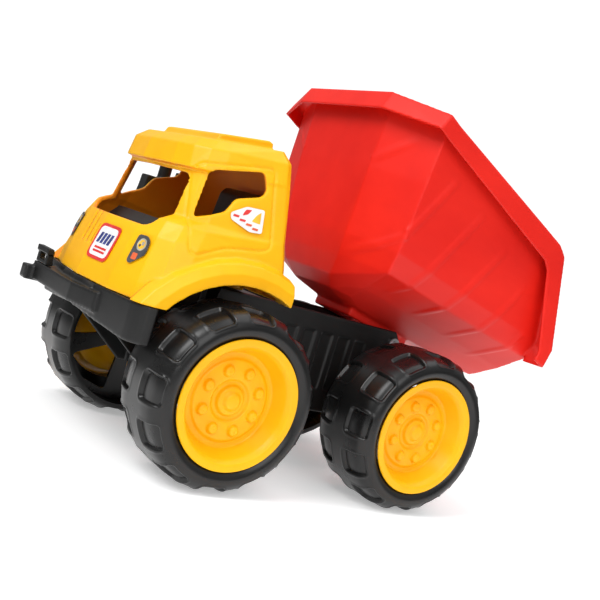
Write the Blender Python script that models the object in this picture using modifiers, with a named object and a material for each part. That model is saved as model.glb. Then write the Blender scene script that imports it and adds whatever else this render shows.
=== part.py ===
"""Toy dump truck: a snap-together plastic truck with a tipping bed.

Truck frame: +X is the truck's left, -Y its front, +Z up, ground at Z = 0. Lengths below are in
millimetres and are measured from the front axle (Y) and the ground (Z). Every piece hangs from
the empty "truck_origin", which puts the middle of the truck's length over the world origin.
The bed's own numbers are measured from its hinge pin, with the bed's floor level.
"""
import math

import bmesh
import bpy
from mathutils import Matrix, Vector

MM = 0.001
GAP = 0.3                 # clearance between touching pieces

# Running gear
WHEELBASE = 156.0
TYRE_R = 57.0
TYRE_OUT = 105.0          # outer sidewall, from the truck's centre line
TYRE_IN = 49.0            # inner sidewall
RIM_R = 41.0
RIM_OUT = 103.0           # plane of the rim's flange
AXLE_R = 2.0
HUB_R = 8.0
LUGS = 12
TYRE_STEPS = 32           # the tyre stands on the middle of one of its flats
FRONT_AXLE_Y = -88.75      # world place of the front axle

# Chassis
CHASSIS_HALF = 30.0
RAIL_TOP = 117.5
CHASSIS_BOTTOM = 46.0
PLATE_LOW = 93.6          # web between the chassis' lower bays and its open top
PLATE_TOP = 96.0
WALL = 2.4
SCREW_R = 1.5
LABEL_LIFT = 0.5
LABEL_THICK = 0.3

# Bed
PIN_Y = 167.4
PIN_Z = 107.5
PIN_R = 2.5
RAISE_AT_REST = 11.3      # degrees that the floor is tipped in the rest pose
FLOOR_W = 9.5            # underside of the floor above the pin
LIP_HALF = 95.0

# Cab
ARCH_R = 69.0
CAB_BOTTOM = 100.5
FLARE_HALF = 82.0
NOSE_SLOPE = 0.26         # how far the nose leans back for each millimetre up

YELLOW = (0.93, 0.62, 0.02)
RED = (0.80, 0.03, 0.02)
BLACK = (0.018, 0.018, 0.02)
STEEL = (0.55, 0.56, 0.58)
WHITE = (0.85, 0.85, 0.86)
GREY = (0.10, 0.10, 0.11)


def clear_scene():
    for obj in list(bpy.data.objects):
        bpy.data.objects.remove(obj)


def make_material(name, colour, roughness, metallic=0.0):
    mat = bpy.data.materials.new(name)
    mat.use_nodes = True
    shader = mat.node_tree.nodes["Principled BSDF"]
    shader.inputs["Base Color"].default_value = (*colour, 1.0)
    shader.inputs["Roughness"].default_value = roughness
    shader.inputs["Metallic"].default_value = metallic
    mat.diffuse_color = (*colour, 1.0)
    return mat


def new_collection(name):
    col = bpy.data.collections.new(name)
    bpy.context.scene.collection.children.link(col)
    return col


def add_object(name, mesh, mat=None, parent=None, cutter=False):
    """Link a mesh as an object; cutters go in their own hidden collection."""
    obj = bpy.data.objects.new(name, mesh)
    (CUTTERS if cutter else TRUCK).objects.link(obj)
    if mat is not None:
        mesh.materials.append(mat)
    obj.parent = parent or ORIGIN
    if cutter:
        obj.hide_render = True
        obj.display_type = "WIRE"
    return obj


def empty(name, location, parent=None, pitch=0.0):
    obj = bpy.data.objects.new(name, None)
    TRUCK.objects.link(obj)
    obj.parent = parent
    obj.location = Vector(location) * MM
    obj.rotation_euler = (math.radians(pitch), 0.0, 0.0)
    obj.empty_display_size = 0.01
    return obj


def finish(bm, name):
    bmesh.ops.recalc_face_normals(bm, faces=bm.faces)
    mesh = bpy.data.meshes.new(name)
    bm.to_mesh(mesh)
    bm.free()
    return mesh


def box_mesh(name, low, high, taper=None):
    """A box between two corners; taper moves the top face's corners inwards in X and Y."""
    bm = bmesh.new()
    bmesh.ops.create_cube(bm, size=1.0)
    low, high = Vector(low) * MM, Vector(high) * MM
    for v in bm.verts:
        top = v.co.z > 0
        v.co = Vector(low[i] + (v.co[i] + 0.5) * (high[i] - low[i]) for i in range(3))
        if taper and top:
            centre = (low + high) / 2
            for i in range(2):
                v.co[i] += math.copysign(taper[i] * MM, centre[i] - v.co[i])
    return finish(bm, name)


def rod_mesh(name, radius, x_from, x_to, segments=20, centre=(0.0, 0.0), top_radius=None):
    """A cylinder or cone along X; centre is its Y and Z."""
    bm = bmesh.new()
    bmesh.ops.create_cone(bm, cap_ends=True, segments=segments, radius1=radius * MM,
                          radius2=(radius if top_radius is None else top_radius) * MM,
                          depth=(x_to - x_from) * MM)
    turn = Matrix.Rotation(math.pi / 2, 4, "Y")
    place = Matrix.Translation(Vector(((x_from + x_to) / 2, centre[0], centre[1])) * MM)
    bmesh.ops.transform(bm, matrix=place @ turn, verts=bm.verts)
    return finish(bm, name)


def post_mesh(name, radius, low, height, segments=16, top_radius=None):
    """A cylinder or cone standing on the point low."""
    bm = bmesh.new()
    bmesh.ops.create_cone(bm, cap_ends=True, segments=segments, radius1=radius * MM,
                          radius2=(radius if top_radius is None else top_radius) * MM,
                          depth=height * MM)
    place = Vector((low[0], low[1], low[2] + height / 2)) * MM
    bmesh.ops.translate(bm, vec=place, verts=bm.verts)
    return finish(bm, name)


def profile_mesh(name, points, half_width, x_centre=0.0):
    """A side profile of (Y, Z) points, extruded along X."""
    curve = bpy.data.curves.new(name + "_outline", "CURVE")
    curve.dimensions = "2D"
    curve.fill_mode = "BOTH"
    curve.extrude = half_width * MM
    spline = curve.splines.new("POLY")
    spline.points.add(len(points) - 1)
    for spot, (y, z) in zip(spline.points, points):
        spot.co = (y * MM, z * MM, 0.0, 1.0)
    spline.use_cyclic_u = True
    holder = bpy.data.objects.new(name + "_outline", curve)
    bpy.context.scene.collection.objects.link(holder)
    deps = bpy.context.evaluated_depsgraph_get()
    mesh = bpy.data.meshes.new_from_object(holder.evaluated_get(deps))
    bpy.data.objects.remove(holder)
    bm = bmesh.new()
    bm.from_mesh(mesh)
    bmesh.ops.remove_doubles(bm, verts=bm.verts, dist=1e-6)
    axes = Matrix(((0, 0, 1, x_centre * MM), (1, 0, 0, 0), (0, 1, 0, 0), (0, 0, 0, 1)))
    bmesh.ops.transform(bm, matrix=axes, verts=bm.verts)
    return finish(bm, name)


def turned_mesh(name, profile, steps):
    """A closed (radius, X) profile turned about X."""
    bm = bmesh.new()
    rings = []
    for k in range(steps):
        angle = 2 * math.pi * k / steps
        spin = (math.cos(angle), math.sin(angle))
        rings.append([bm.verts.new((x * MM, r * spin[0] * MM, r * spin[1] * MM)) for r, x in profile])
    for k in range(steps):
        here, there = rings[k], rings[(k + 1) % steps]
        for i in range(len(profile)):
            j = (i + 1) % len(profile)
            bm.faces.new((here[i], here[j], there[j], there[i]))
    return finish(bm, name)


def boolean(obj, others, operation):
    """Apply a Boolean with each mesh of others; the cutters stay as hidden guides."""
    for k, mesh in enumerate(others):
        tool = add_object(f"{obj.name}_{operation.lower()}_{k}", mesh, parent=obj.parent, cutter=True)
        mod = obj.modifiers.new(tool.name, "BOOLEAN")
        mod.operation = operation
        mod.solver = "EXACT"
        mod.object = tool


def cut(obj, meshes):
    boolean(obj, meshes, "DIFFERENCE")


def join(obj, meshes):
    boolean(obj, meshes, "UNION")


def spot_bevel(obj, width, segments=2, angle=40.0):
    mod = obj.modifiers.new("edge_round", "BEVEL")
    mod.width = width * MM
    mod.segments = segments
    mod.limit_method = "ANGLE"
    mod.angle_limit = math.radians(angle)


def smooth(obj, angle=40.0):
    obj.data.shade_smooth()
    obj.data.set_sharp_from_angle(angle=math.radians(angle))


# ---------------------------------------------------------------- wheels

def tyre_profile():
    """(radius, X) round the tyre, from the rim seat out over the tread to the open inner side."""
    return [
        (38.0, 99.0), (42.0, 103.5), (47.0, TYRE_OUT), (52.0, 103.0), (55.5, 98.5),
        (TYRE_R, 92.0), (TYRE_R, 63.0), (55.0, 56.0), (52.5, 51.5), (51.0, TYRE_IN),
        (48.5, TYRE_IN), (48.5, 66.0), (HUB_R, 66.0), (HUB_R, 50.0), (2.5, 50.0), (2.5, 78.0),
        (HUB_R, 78.0), (HUB_R, 69.0), (48.5, 69.0), (46.0, 88.0), (38.0, 89.0),
    ]


def tyre(name, mat, parent, side):
    """Blow-moulded tyre with a spoked web and hub inboard, open behind the rim."""
    flat = math.cos(math.pi / TYRE_STEPS)
    mesh = turned_mesh(name, [(r / flat, x) for r, x in tyre_profile()], TYRE_STEPS)
    bm = bmesh.new()
    bm.from_mesh(mesh)
    half_step = Matrix.Rotation(math.pi / TYRE_STEPS, 3, "X")
    bmesh.ops.rotate(bm, verts=bm.verts, matrix=half_step)
    bmesh.ops.scale(bm, vec=(side, 1, 1), verts=bm.verts)
    obj = add_object(name, finish(bm, name), mat, parent)
    windows = []
    for k in range(5):
        angle = 72.0 * k
        windows.append(web_window(f"{name}_window_{k}", angle, side))
    cut(obj, windows)
    pockets = []
    for k in range(LUGS):
        angle = 360.0 / LUGS * k
        pockets.append(shoulder_pocket(f"{name}_pocket_{k}", angle, side))
    cut(obj, pockets)
    smooth(obj, 30.0)
    return obj


def web_window(name, angle, side):
    """A wedge-shaped window between two spokes of the tyre's web."""
    inner, outer, half = 14.0, 44.0, 27.0
    bm = bmesh.new()
    ends = []
    for x in (64.0, 71.0):
        ring = []
        for r, a in ((inner, -half * 0.75), (outer, -half), (outer + 1.4, 0.0), (outer, half),
                     (inner, half * 0.75)):
            t = math.radians(angle + a)
            ring.append(bm.verts.new(Vector((side * x, r * math.cos(t), r * math.sin(t))) * MM))
        ends.append(ring)
    bridge(bm, ends)
    return finish(bm, name)


def shoulder_pocket(name, angle, side):
    """A shallow rounded-box recess that wraps over the tread's outer shoulder."""
    half = 6.5
    mesh = box_mesh(name, (80.0, -half, 54.8), (102.0, half, 60.0), taper=(0.0, -0.8))
    bm = bmesh.new()
    bm.from_mesh(mesh)
    bmesh.ops.rotate(bm, verts=bm.verts, matrix=Matrix.Rotation(math.radians(angle), 3, "X"))
    bmesh.ops.scale(bm, vec=(side, 1, 1), verts=bm.verts)
    return finish(bm, name)


def bridge(bm, rings, cap_start=True, cap_end=True):
    """Side faces between equal rings of vertices, with flat end caps."""
    for a, b in zip(rings, rings[1:]):
        for i in range(len(a)):
            j = (i + 1) % len(a)
            bm.faces.new((a[i], a[j], b[j], b[i]))
    if cap_start:
        bm.faces.new(rings[0])
    if cap_end:
        bm.faces.new(rings[-1])


def rim_profile():
    """(radius, X) of the dished hub cap, outer face first; its first and last points are open."""
    return [
        (0.0, 95.0), (4.5, 95.0), (8.8, 94.0), (9.5, 89.5), (12.5, 89.5), (13.5, 92.5), (25.0, 92.0),
        (26.5, 90.5), (30.5, 91.5), (33.5, 99.0), (36.0, 103.6), (RIM_R, RIM_OUT + 1.0),
        (41.5, 104.2), (37.6, 101.6), (36.8, 99.0), (33.0, 88.6), (26.0, 88.0), (23.5, 89.6),
        (15.5, 90.0), (14.5, 87.2), (7.6, 87.2), (7.0, 92.6), (0.0, 92.6),
    ]


def rim(name, mat, parent, side):
    """Yellow dished rim plugged into the tyre, with eight moulded wheel nuts."""
    bm = bmesh.new()
    profile = rim_profile()[1:-1]
    steps = 24
    rings = []
    for k in range(steps):
        t = 2 * math.pi * k / steps
        c, s = math.cos(t), math.sin(t)
        rings.append([bm.verts.new(Vector((side * x, r * c, r * s)) * MM) for r, x in profile])
    for k in range(steps):
        here, there = rings[k], rings[(k + 1) % steps]
        for a, b, c, d in zip(here, here[1:], there[1:], there):
            bm.faces.new((a, b, c, d))
    bm.faces.new([ring[0] for ring in rings])
    bm.faces.new([ring[-1] for ring in rings])
    obj = add_object(name, finish(bm, name), mat, parent)
    nuts = []
    for k in range(8):
        t = 2 * math.pi * (k + 0.5) / 8
        spot = (19.5 * math.cos(t), 19.5 * math.sin(t))
        ends = (91.5, 94.6) if side > 0 else (-94.6, -91.5)
        radii = (3.6, 3.0) if side > 0 else (3.0, 3.6)
        nuts.append(rod_mesh(f"{name}_nut_{k}", radii[0], *ends, 6, spot, radii[1]))
    join(obj, nuts)
    smooth(obj, 35.0)
    return obj


def wheel(corner, y, side, mats):
    """One wheel: hub empty on the axle, tyre, rim, and the fixed spacer and push nut."""
    hub = empty(f"wheel_{corner}_hub", (0, y, TYRE_R), ORIGIN)
    tyre(f"tyre_{corner}", mats["tyre"], hub, side)
    rim(f"rim_{corner}", mats["yellow"], hub, side)
    spacer_low, spacer_high = CHASSIS_HALF + GAP, 50.0 - GAP
    spacer = turned_mesh(f"spacer_{corner}", [(4.6, spacer_low * side), (4.6, spacer_high * side),
                                              (AXLE_R + GAP, spacer_high * side),
                                              (AXLE_R + GAP, spacer_low * side)], 12)
    smooth(add_object(f"axle_spacer_{corner}", spacer, mats["black"], hub))
    nut_low, nut_high = 78.0 + GAP, 84.0
    nut = turned_mesh(f"nut_{corner}", [(6.2, nut_low * side), (6.2, (nut_low + 0.9) * side),
                                        (4.2, (nut_low + 2.0) * side), (3.6, nut_high * side),
                                        (AXLE_R + GAP, nut_high * side),
                                        (AXLE_R + GAP, nut_low * side)], 12)
    smooth(add_object(f"axle_push_nut_{corner}", nut, mats["steel"], hub))


def axle(name, y, mat):
    mesh = rod_mesh(name, AXLE_R, -85.0, 85.0, 12, (y, TYRE_R))
    smooth(add_object(name, mesh, mat))


# ---------------------------------------------------------------- chassis

def chassis(mats):
    """Moulded channel: side rails, a mid plate, ribbed flanks, bearings and a stop for the bed."""
    front, rear = -60.0, 194.0
    outline = [(front, 76.0), (front, PLATE_TOP), (4.0, PLATE_TOP), (8.0, RAIL_TOP), (168.0, RAIL_TOP),
               (176.0, 107.0), (rear, 86.0), (rear, 58.0), (180.0, CHASSIS_BOTTOM),
               (-22.0, CHASSIS_BOTTOM)]
    body = add_object("chassis_frame", profile_mesh("chassis_frame", outline, CHASSIS_HALF),
                      mats["black"])
    inner = CHASSIS_HALF - WALL
    hollows = [
        box_mesh("bay_nose", (-inner, front + WALL, 40.0), (inner, -16.0, PLATE_LOW)),
        box_mesh("bay_front", (-inner, -13.0, 40.0), (inner, 60.0, PLATE_LOW)),
        box_mesh("bay_middle", (-inner, 63.0, 40.0), (inner, 140.0, PLATE_LOW)),
        box_mesh("bay_rear", (-inner, 143.0, 40.0), (inner, rear - WALL, 83.0)),
        box_mesh("well_front", (-inner, 42.0, PLATE_TOP), (inner, 119.0, 130.0)),
        box_mesh("well_rear", (-inner, 126.0, PLATE_TOP), (inner, 210.0, 130.0)),
        box_mesh("bed_stop_gap", (-inner, 118.0, 110.6), (inner, 127.0, 130.0)),
    ]
    recesses = []
    for side in (-1, 1):
        for k in range(5):
            y = 67.0 + 16.0 * k
            low = (side * CHASSIS_HALF - 1.2, y, 62.0)
            high = (side * CHASSIS_HALF + 1.2, y + 11.0, 104.0)
            recesses.append(box_mesh(f"flank_recess_{side}_{k}", low, high))
        low = (side * CHASSIS_HALF - 1.0, 36.0, RAIL_TOP - 6.5)
        high = (side * CHASSIS_HALF + 1.0, 150.0, RAIL_TOP - 5.0)
        recesses.append(box_mesh(f"rail_line_{side}", low, high))
    bores = [rod_mesh(f"axle_bore_{k}", AXLE_R + GAP, -40, 40, 12, (y, TYRE_R))
             for k, y in enumerate((0.0, WHEELBASE))]
    bores.append(rod_mesh("pin_bore", PIN_R + GAP, -40, 40, 12, (PIN_Y, PIN_Z)))
    for x, y, z in screw_places():
        bores.append(post_mesh(f"chassis_screw_bore_{x}_{y}", SCREW_R + GAP, (x, y, 80.0), 50.0, 12))
    cut(body, hollows + recesses + bores)
    smooth(body, 25.0)
    return body


def screw_places():
    """X, Y and the height of the screw's seat for the four screws that hold the cab."""
    return [(-15.0, -48.0, PLATE_LOW), (15.0, -48.0, PLATE_LOW),
            (-15.0, 20.0, PLATE_LOW), (15.0, 20.0, PLATE_LOW)]


def cab_screws(mats):
    """Pan-head screws driven up through the chassis into the cab's tabs."""
    for k, (x, y, seat) in enumerate(screw_places()):
        rear = y > 0
        name = f"cab_screw_{k}"
        top = (RAIL_TOP if rear else CAB_BOTTOM) + 3.0
        screw = add_object(name, post_mesh(name, SCREW_R, (x, y, seat - 1.5), top - seat + 1.5, 12),
                           mats["steel"])
        head = post_mesh(name + "_head", 3.2, (x, y, seat - GAP - 2.2), 2.2, 12)
        join(screw, [head])
        smooth(screw)


def plan_prism(name, points, low, high):
    """A solid between two heights, from (X, Y) points."""
    bm = bmesh.new()
    bridge(bm, [[bm.verts.new(Vector((x, y, z)) * MM) for x, y in points] for z in (low, high)])
    return finish(bm, name)


def bumper_outline(inset):
    """Plan of the wrap-round skirt's left half and right half, rear left to rear right."""
    half, back = 80.0 - inset, -57.0
    front, centre = -71.0 + inset, -79.5 + inset
    round_r = 12.0
    pts = [(half, back)]
    for k in range(5):
        t = math.radians(80.0 * k / 4)
        pts.append((half - round_r + round_r * math.cos(t), front + round_r - round_r * math.sin(t)))
    pts.append((38.0, centre + 4.0))
    return pts + [(0.0, centre)] + [(-x, y) for x, y in reversed(pts)]


def bumper(mats):
    """Wrap-round front skirt with the bumper bar, its end blocks and a fixing tray."""
    bm = bmesh.new()
    outer, inner = bumper_outline(0.0), bumper_outline(WALL)
    low = []
    high = []
    for x, y in outer + inner[::-1]:
        drop = 5.0 * min(abs(x) / 60.0, 1.0)
        low.append(bm.verts.new(Vector((x, y, 82.0 - drop)) * MM))
        high.append(bm.verts.new(Vector((x, y, CAB_BOTTOM - GAP)) * MM))
    bridge(bm, [low, high])
    skirt = add_object("front_bumper", finish(bm, "front_bumper"), mats["black"])
    bar_plan = [(-64.0, -85.0), (10.0, -85.0), (36.0, -78.0), (36.0, -74.0), (-64.0, -74.0)]
    adds = [plan_prism("bumper_bar", bar_plan, 84.0, 96.0),
            box_mesh("bumper_block", (-69, -91, 82.5), (-59, -70, 92.5)),
            box_mesh("bumper_tray", (-26, -78.4, PLATE_TOP + GAP), (26, -40, PLATE_TOP + 2.5))]
    join(skirt, adds)
    cut(skirt, [post_mesh(f"tray_screw_bore_{x}", SCREW_R + GAP, (x, y, 90.0), 20.0, 12)
                for x, y, z in screw_places() if y < 0])
    smooth(skirt, 30.0)
    return skirt


def bumper_bracket(mats):
    """Open tow bracket that stands on the bumper bar, on the truck's right."""
    low_z = 96.0 + GAP
    frame = add_object("tow_bracket", box_mesh("tow_bracket", (-63, -84.6, low_z), (-43, -79.4, low_z + 2.4)),
                       mats["black"])
    join(frame, [
        box_mesh("tow_post_left", (-47, -84.6, low_z + 1), (-43, -80, low_z + 10)),
        box_mesh("tow_post_right", (-63, -84.6, low_z + 1), (-59, -80, low_z + 10)),
        box_mesh("tow_bar", (-64, -85.5, low_z + 7.5), (-42, -81, low_z + 11.5)),
    ])
    return frame


# ---------------------------------------------------------------- cab

def cab_levels():
    """Plan outlines of the cab, from the bottom up.

    Each gives its height at the nose and at the rear wall, then the left half of the outline as
    (X, Y) points: nose, front, two corner points, front of the side, rear of the side, rear wall.
    """
    return [
        (100.5, 100.5, [(0, -79.5), (40, -75.5), (65, -69), (76, -61), (79.5, -48), (78, 24), (73, 29)]),
        (111.0, 111.0, [(0, -78.3), (40, -74.2), (63.5, -68), (74.5, -60), (78, -46.5), (77, 24), (72, 29)]),
        (139.0, 141.0, [(0, -71), (40, -67), (59, -61.5), (69, -54), (72.5, -40), (72, 22), (67, 26.5)]),
        (149.5, 151.0, [(0, -67.5), (38, -63), (56, -57), (64.5, -49), (69, -36), (70, 20), (65, 24.5)]),
        (154.5, 156.0, [(0, -63), (34, -57), (47, -52), (58, -45), (64, -34), (69, 19), (64, 23.5)]),
        (183.0, 192.0, [(0, -54), (34, -49.5), (46, -45.5), (53, -41), (58.5, -31), (62.0, 13), (60, 17.5)]),
        (183.6, 192.0, [(0, -58.5), (34, -54), (48, -49), (56, -42.5), (60, -31), (62.4, 13), (60, 17.5)]),
        (197.5, 206.0, [(0, -56.5), (32, -53), (45, -48), (53, -40), (57, -30), (60.5, 11), (57, 15.5)]),
        (203.5, 213.0, [(0, -49), (29, -46.5), (40, -42), (47, -34), (50, -26), (55, 7), (50, 11.5)]),
    ]


def inset_outline(points, amount):
    """Move a closed plan outline inwards by amount, keeping its corners."""
    out = []
    count = len(points)
    for k in range(count):
        before, here, after = (Vector(points[(k + j) % count]) for j in (-1, 0, 1))
        first = (here - before).normalized()
        second = (after - here).normalized()
        normal_a = Vector((-first.y, first.x))
        normal_b = Vector((-second.y, second.x))
        bisector = (normal_a + normal_b).normalized()
        out.append(here + bisector * (amount / max(bisector.dot(normal_a), 0.5)))
    return out


def cab_body(name, shrink):
    """Loft of the plan outlines; shrink gives the hollow's smaller copy, open downwards."""
    bm = bmesh.new()
    rings = []
    for k, (z_front, z_rear, half) in enumerate(cab_levels()):
        if shrink and k == 6:
            continue
        outline = [Vector(p) for p in half] + [Vector((-x, y)) for x, y in reversed(half[1:])]
        nose, back = half[0][1], half[-1][1]
        if shrink:
            outline = inset_outline(outline, shrink)
        drop = (12.0 if k == 0 else shrink) if shrink else 0.0
        ring = []
        for p in outline:
            z = z_front + (z_rear - z_front) * (p.y - nose) / (back - nose) - drop
            ring.append(bm.verts.new(Vector((p.x, p.y, z)) * MM))
        rings.append(ring)
    bridge(bm, rings)
    return finish(bm, name)


def flare_mesh(name, side):
    """Raised band round the wheel arch, outside the cab's side wall."""
    bm = bmesh.new()
    rings = []
    steps = 10
    start, end = 150.0, 57.0
    for k in range(steps):
        t = math.radians(start + (end - start) * k / (steps - 1))
        c, s = math.cos(t), math.sin(t)
        ring = []
        for r, x in ((ARCH_R - 3.0, 66.0), (ARCH_R - 3.0, FLARE_HALF), (ARCH_R + 7.0, FLARE_HALF),
                     (ARCH_R + 13.0, FLARE_HALF - 3.0), (ARCH_R + 16.0, 71.0), (ARCH_R + 14.0, 66.0)):
            ring.append(bm.verts.new(Vector((side * x, r * c, TYRE_R + r * s)) * MM))
        rings.append(ring)
    bridge(bm, rings)
    return finish(bm, name)


def front_prism(name, points, y_from, y_to):
    """A cutter through the cab's front, from (X, Z) points."""
    bm = bmesh.new()
    rings = []
    for y in (y_from, y_to):
        rings.append([bm.verts.new(Vector((x, y, z)) * MM) for x, z in points])
    bridge(bm, rings)
    return finish(bm, name)


def rounded(points, radius, steps=3):
    """A closed outline with each corner turned into a short curve that starts radius from it."""
    out = []
    count = len(points)
    for k in range(count):
        before, here, after = (Vector(points[(k + j) % count]) for j in (-1, 0, 1))
        reach_in = min(radius, (before - here).length * 0.45)
        reach_out = min(radius, (after - here).length * 0.45)
        start = here + (before - here).normalized() * reach_in
        stop = here + (after - here).normalized() * reach_out
        for i in range(steps + 1):
            t = i / steps
            out.append(tuple(start * (1 - t) ** 2 + here * 2 * t * (1 - t) + stop * t * t))
    return out


def cab(mats):
    """Yellow cab shell: thin walls, open below, with windscreen, side windows and fixing tabs."""
    shell = add_object("cab_shell", cab_body("cab_shell", 0.0), mats["yellow"])
    flares = [flare_mesh(f"cab_flare_{side}", side) for side in (-1, 1)]
    panel = [(-34.0, 200.0), (-30.0, 210.5), (-27.0, 211.5), (6.0, 217.5), (9.0, 216.5), (11.0, 205.0)]
    join(shell, flares + [profile_mesh("cab_roof_panel", panel, 39.0)])
    screen = rounded([(-44.0, 143.0), (44.0, 143.0), (49.5, 149.0), (46.5, 181.0), (-46.5, 181.0),
                      (-49.5, 149.0)], 5.0)
    window = rounded([(-37.5, 187.0), (-4.0, 195.5), (0.5, 185.5), (-1.5, 180.5), (-19.0, 174.5),
                      (-24.0, 165.0), (-42.5, 156.0)], 3.0)
    slots = []
    for x, top in ((-22.0, 144.0), (-13.0, 144.0), (-4.0, 135.0)):
        depth = (top - 121.0) * NOSE_SLOPE
        side = [(-90.0, 121.0), (-69.5, 121.0), (-69.5 + depth, top), (-90.0, top)]
        slots.append(profile_mesh(f"cab_nose_slot_{x}", side, 1.2, x))
    cut(shell, slots + [
        box_mesh("cab_under_trim", (-100, -100, 60), (100, 60, CAB_BOTTOM)),
        rod_mesh("cab_arch", ARCH_R, -100, 100, 40, (0.0, TYRE_R)),
        box_mesh("cab_rear_trim", (-100, 30.5, 60), (100, 60, 170)),
        box_mesh("cab_rear_low_trim", (-100, 20.0, 60), (100, 60, RAIL_TOP + GAP)),
        cab_body("cab_cavity", WALL),
        front_prism("cab_screen_cut", screen, -90.0, -34.0),
        profile_mesh("cab_window_cut", window, 100.0),
    ])
    tabs = [box_mesh("cab_tab_rear", (-24.0, 12.0, RAIL_TOP + GAP), (24.0, 28.0, RAIL_TOP + 5.5)),
            box_mesh("cab_tab_front", (-24.0, -76.5, CAB_BOTTOM), (24.0, -42.0, CAB_BOTTOM + 4.0))]
    join(shell, tabs)
    cut(shell, [post_mesh(f"cab_screw_hole_{x}_{y}", SCREW_R + GAP,
                          (x, y, 90.0), (RAIL_TOP if y > 0 else CAB_BOTTOM) + 3.0 + GAP - 90.0, 12)
                for x, y, z in screw_places()])
    smooth(shell, 22.0)
    return shell


def interior(mats):
    """Black cab floor with its dashboard, standing on legs on the chassis."""
    floor = add_object("cab_interior", box_mesh("cab_interior", (-56, -46, 128.5), (56, 18, 131.0)),
                       mats["black"])
    dash = [(-46.0, 130.0), (-50.0, 142.0), (-44.0, 149.0), (-36.0, 147.0), (-33.0, 130.0)]
    join(floor, [profile_mesh("dash_block", dash, 48.0),
                 box_mesh("interior_leg_front", (-26, -38, PLATE_TOP + GAP), (26, -32, 129.5)),
                 box_mesh("interior_leg_rear", (-26, -4, PLATE_TOP + GAP), (26, 1, 129.5))])
    seat_side = [(-16.0, 131.0 + GAP), (-17.0, 145.0), (-13.0, 149.0), (0.0, 148.0), (3.0, 178.0),
                 (7.0, 183.0), (13.0, 181.0), (15.0, 131.0 + GAP)]
    seat = add_object("cab_seat", profile_mesh("cab_seat", seat_side, 26.0, 24.0), mats["black"])
    spot_bevel(seat, 2.5)
    return floor


def air_box(mats):
    """Air filter box with an exhaust stack and a short pipe, on the right flare beside the door."""
    low = (-86.0, -20.0, 142.6)
    high = (-72.0 - 2 * GAP, 17.0, 176.0)
    box = add_object("air_filter_box", box_mesh("air_filter_box", low, high, taper=(1.0, 2.0)),
                     mats["black"])
    join(box, [post_mesh("exhaust_stack", 4.8, (-79.5, -3.0, 170.0), 30.0, 16),
               post_mesh("intake_pipe", 4.2, (-79.5, 10.0, 170.0), 14.0, 16, 3.6)])
    smooth(box)


# ---------------------------------------------------------------- bed

def bed_levels():
    """Plan outlines of the tub from the floor up.

    Each gives the height, the front wall (U), half its width, then (X, U) of the side's front.
    """
    return [
        (FLOOR_W, -46.0, 18.0, (24.0, -38.0)),
        (15.0, -74.0, 24.0, (36.0, -62.0)),
        (23.0, -83.0, 30.0, (53.0, -68.0)),
        (37.0, -89.0, 36.0, (77.0, -74.0)),
        (52.0, -94.0, 39.0, (82.0, -78.0)),
        (100.0, -104.0, 43.0, (86.0, -86.0)),
        (158.0, -113.0, 47.0, (89.0, -94.0)),
    ]


def tub_solid(name, inset):
    """The tub as a solid; inset gives the hollow's smaller copy, taller than the rim."""
    bm = bmesh.new()
    rings = []
    levels = bed_levels()
    for k, (w, front, corner, (x, u)) in enumerate(levels):
        half = [(0.0, front), (corner, front), (x, u), (x, 150.0)]
        outline = half + [(-a, b) for a, b in reversed(half[1:])]
        if inset:
            outline = inset_outline(outline, inset)
            if k == len(levels) - 1:
                w += 2.0
            elif k < 4:
                w += inset
        rings.append([bm.verts.new(Vector((p[0], p[1], w)) * MM) for p in outline])
    bridge(bm, rings)
    return finish(bm, name)


def lip_stations():
    """Outer top, outer low and inner top corners of the lip on the left, front to tail."""
    outer = [(50.0, -118.5, 149.5), (LIP_HALF, -99.0, 145.5), (LIP_HALF, -88.5, 143.0),
             (LIP_HALF, 50.0, 121.0), (LIP_HALF, 60.0, 115.5), (LIP_HALF, 93.0, 50.5),
             (LIP_HALF, 91.5, 34.5)]
    lower = [(50.0, -121.5, 135.5), (LIP_HALF, -103.0, 133.0), (LIP_HALF, -91.0, 130.0),
             (LIP_HALF, 42.0, 104.0), (LIP_HALF, 49.0, 99.0), (LIP_HALF, 79.5, 44.0),
             (LIP_HALF, 79.0, 37.0)]
    inner = [(45.5, -110.0, 149.0), (86.0, -92.5, 145.0), (86.0, -84.0, 143.0), (85.5, 46.0, 121.0),
             (85.0, 54.0, 116.0), (81.0, 88.0, 50.5), (78.0, 87.0, 33.5)]
    return zip(outer, lower, inner)


def bed_lip(name):
    """Folded-down lip round the rim: a closed band from one tail corner round to the other."""
    bm = bmesh.new()
    halves = []
    for outer, lower, inner in lip_stations():
        top, low, inn = Vector(outer), Vector(lower), Vector(inner)
        across = (top - inn).normalized()
        drop = (low - top).normalized()
        halves.append([inn, top, low, low - across * WALL, top + (drop - across) * WALL,
                       inn + drop * WALL])
    rings = []
    for side, order in ((-1, reversed(halves)), (1, halves)):
        for section in order:
            rings.append([bm.verts.new(Vector((side * p.x, p.y, p.z)) * MM) for p in section])
    bridge(bm, rings)
    return finish(bm, name)


def trim_mesh(name):
    """Everything above the rim and behind the tail, which the tub is cut back to."""
    line = [(-140.0, 152.0), (-112.0, 147.8), (-92.0, 144.2), (-84.0, 142.2), (46.0, 120.2),
            (54.0, 115.2), (88.0, 50.5), (90.0, 36.0), (100.0, 5.0), (180.0, 5.0), (180.0, 260.0),
            (-140.0, 260.0)]
    return profile_mesh(name, line, 120.0)


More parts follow.
